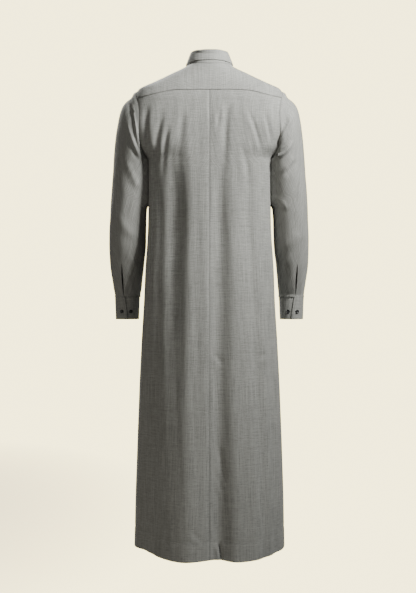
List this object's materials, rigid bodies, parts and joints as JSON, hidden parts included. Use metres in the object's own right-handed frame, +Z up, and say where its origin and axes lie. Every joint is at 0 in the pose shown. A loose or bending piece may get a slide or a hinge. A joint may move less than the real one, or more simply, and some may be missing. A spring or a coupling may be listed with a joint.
{
  "type": "thobe robe",
  "caption": "Ankle-length long-sleeved thobe with a back yoke, shirt collar, buttoned front slit and buttoned cuffs, hanging as if worn.",
  "frame": {"origin": "middle of the neck opening at the height of the collar seam", "axes": "+Z up along the wearer's body, +X towards the wearer's left hand, +Y towards the wearer's back; the front faces -Y"},
  "size_m": [0.59, 0.3104, 1.4686],
  "materials": {
    "cloth": "fine mid-grey melange weave with a soft sheen",
    "button": "near-black moulded plastic"
  },
  "bodies": {
    "root": {"back_left": "cloth", "back_right": "cloth", "back_yoke": "cloth", "front": "cloth", "front_placket": "cloth", "collar_stand": "cloth", "collar_leaf": "cloth", "sleeve_left": "cloth", "sleeve_right": "cloth", "sleeve_placket_left": "cloth", "sleeve_placket_right": "cloth", "cuff_left": "cloth", "cuff_right": "cloth", "cuff_button_left_outer": "button", "cuff_button_left_inner": "button", "cuff_button_right_outer": "button", "cuff_button_right_inner": "button", "front_button_1": "button", "front_button_2": "button", "front_button_3": "button", "front_button_4": "button", "collar_button": "button"}
  },
  "joints": []
}
